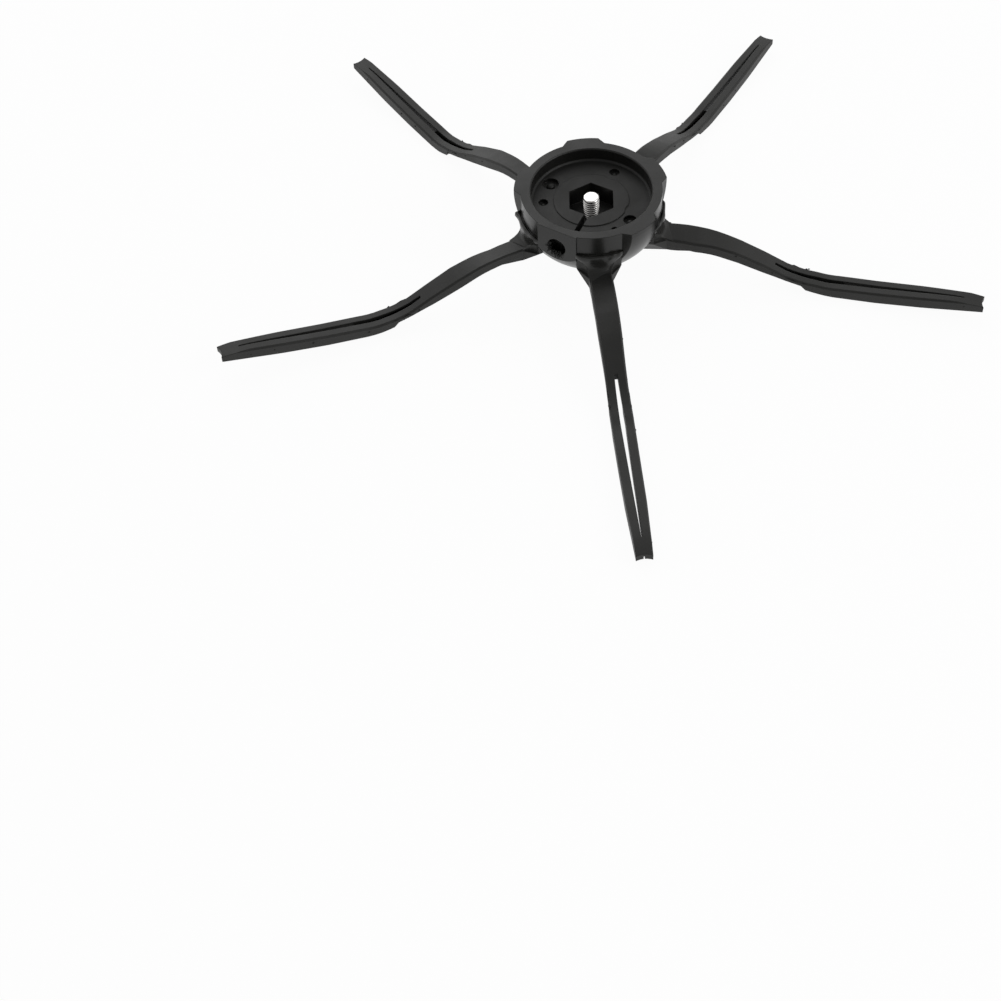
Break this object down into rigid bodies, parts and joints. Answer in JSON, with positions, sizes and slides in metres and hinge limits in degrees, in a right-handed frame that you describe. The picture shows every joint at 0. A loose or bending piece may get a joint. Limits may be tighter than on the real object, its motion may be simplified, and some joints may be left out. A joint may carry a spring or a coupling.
{
  "type": "robot vacuum side brush",
  "caption": "Side brush of a robot vacuum: a bell-shaped plastic hub with a hex drive socket and captive screw, and slotted rubber arms that sweep the floor.",
  "frame": {"origin": "on the spin axis, in the floor of the recess on the hub's drive side", "axes": "+Z along the spin axis, towards the robot; -Y along the arm that is at the front in the picture"},
  "size_m": [0.1406, 0.1338, 0.0174],
  "materials": {
    "hub_plastic": "black moulded plastic, satin",
    "arm_rubber": "charcoal-black moulded rubber, matt",
    "screw_steel": "bright plated steel"
  },
  "bodies": {
    "brush": {"hub": "hub_plastic", "rubber_arms": "arm_rubber"},
    "screw": {"hub_screw": "screw_steel"}
  },
  "joints": [
    {"name": "screw_spin", "type": "hinge", "parent": "brush", "child": "screw", "pos_m": [0, 0, 0], "axis": [0, 0, 1], "continuous": true}
  ]
}
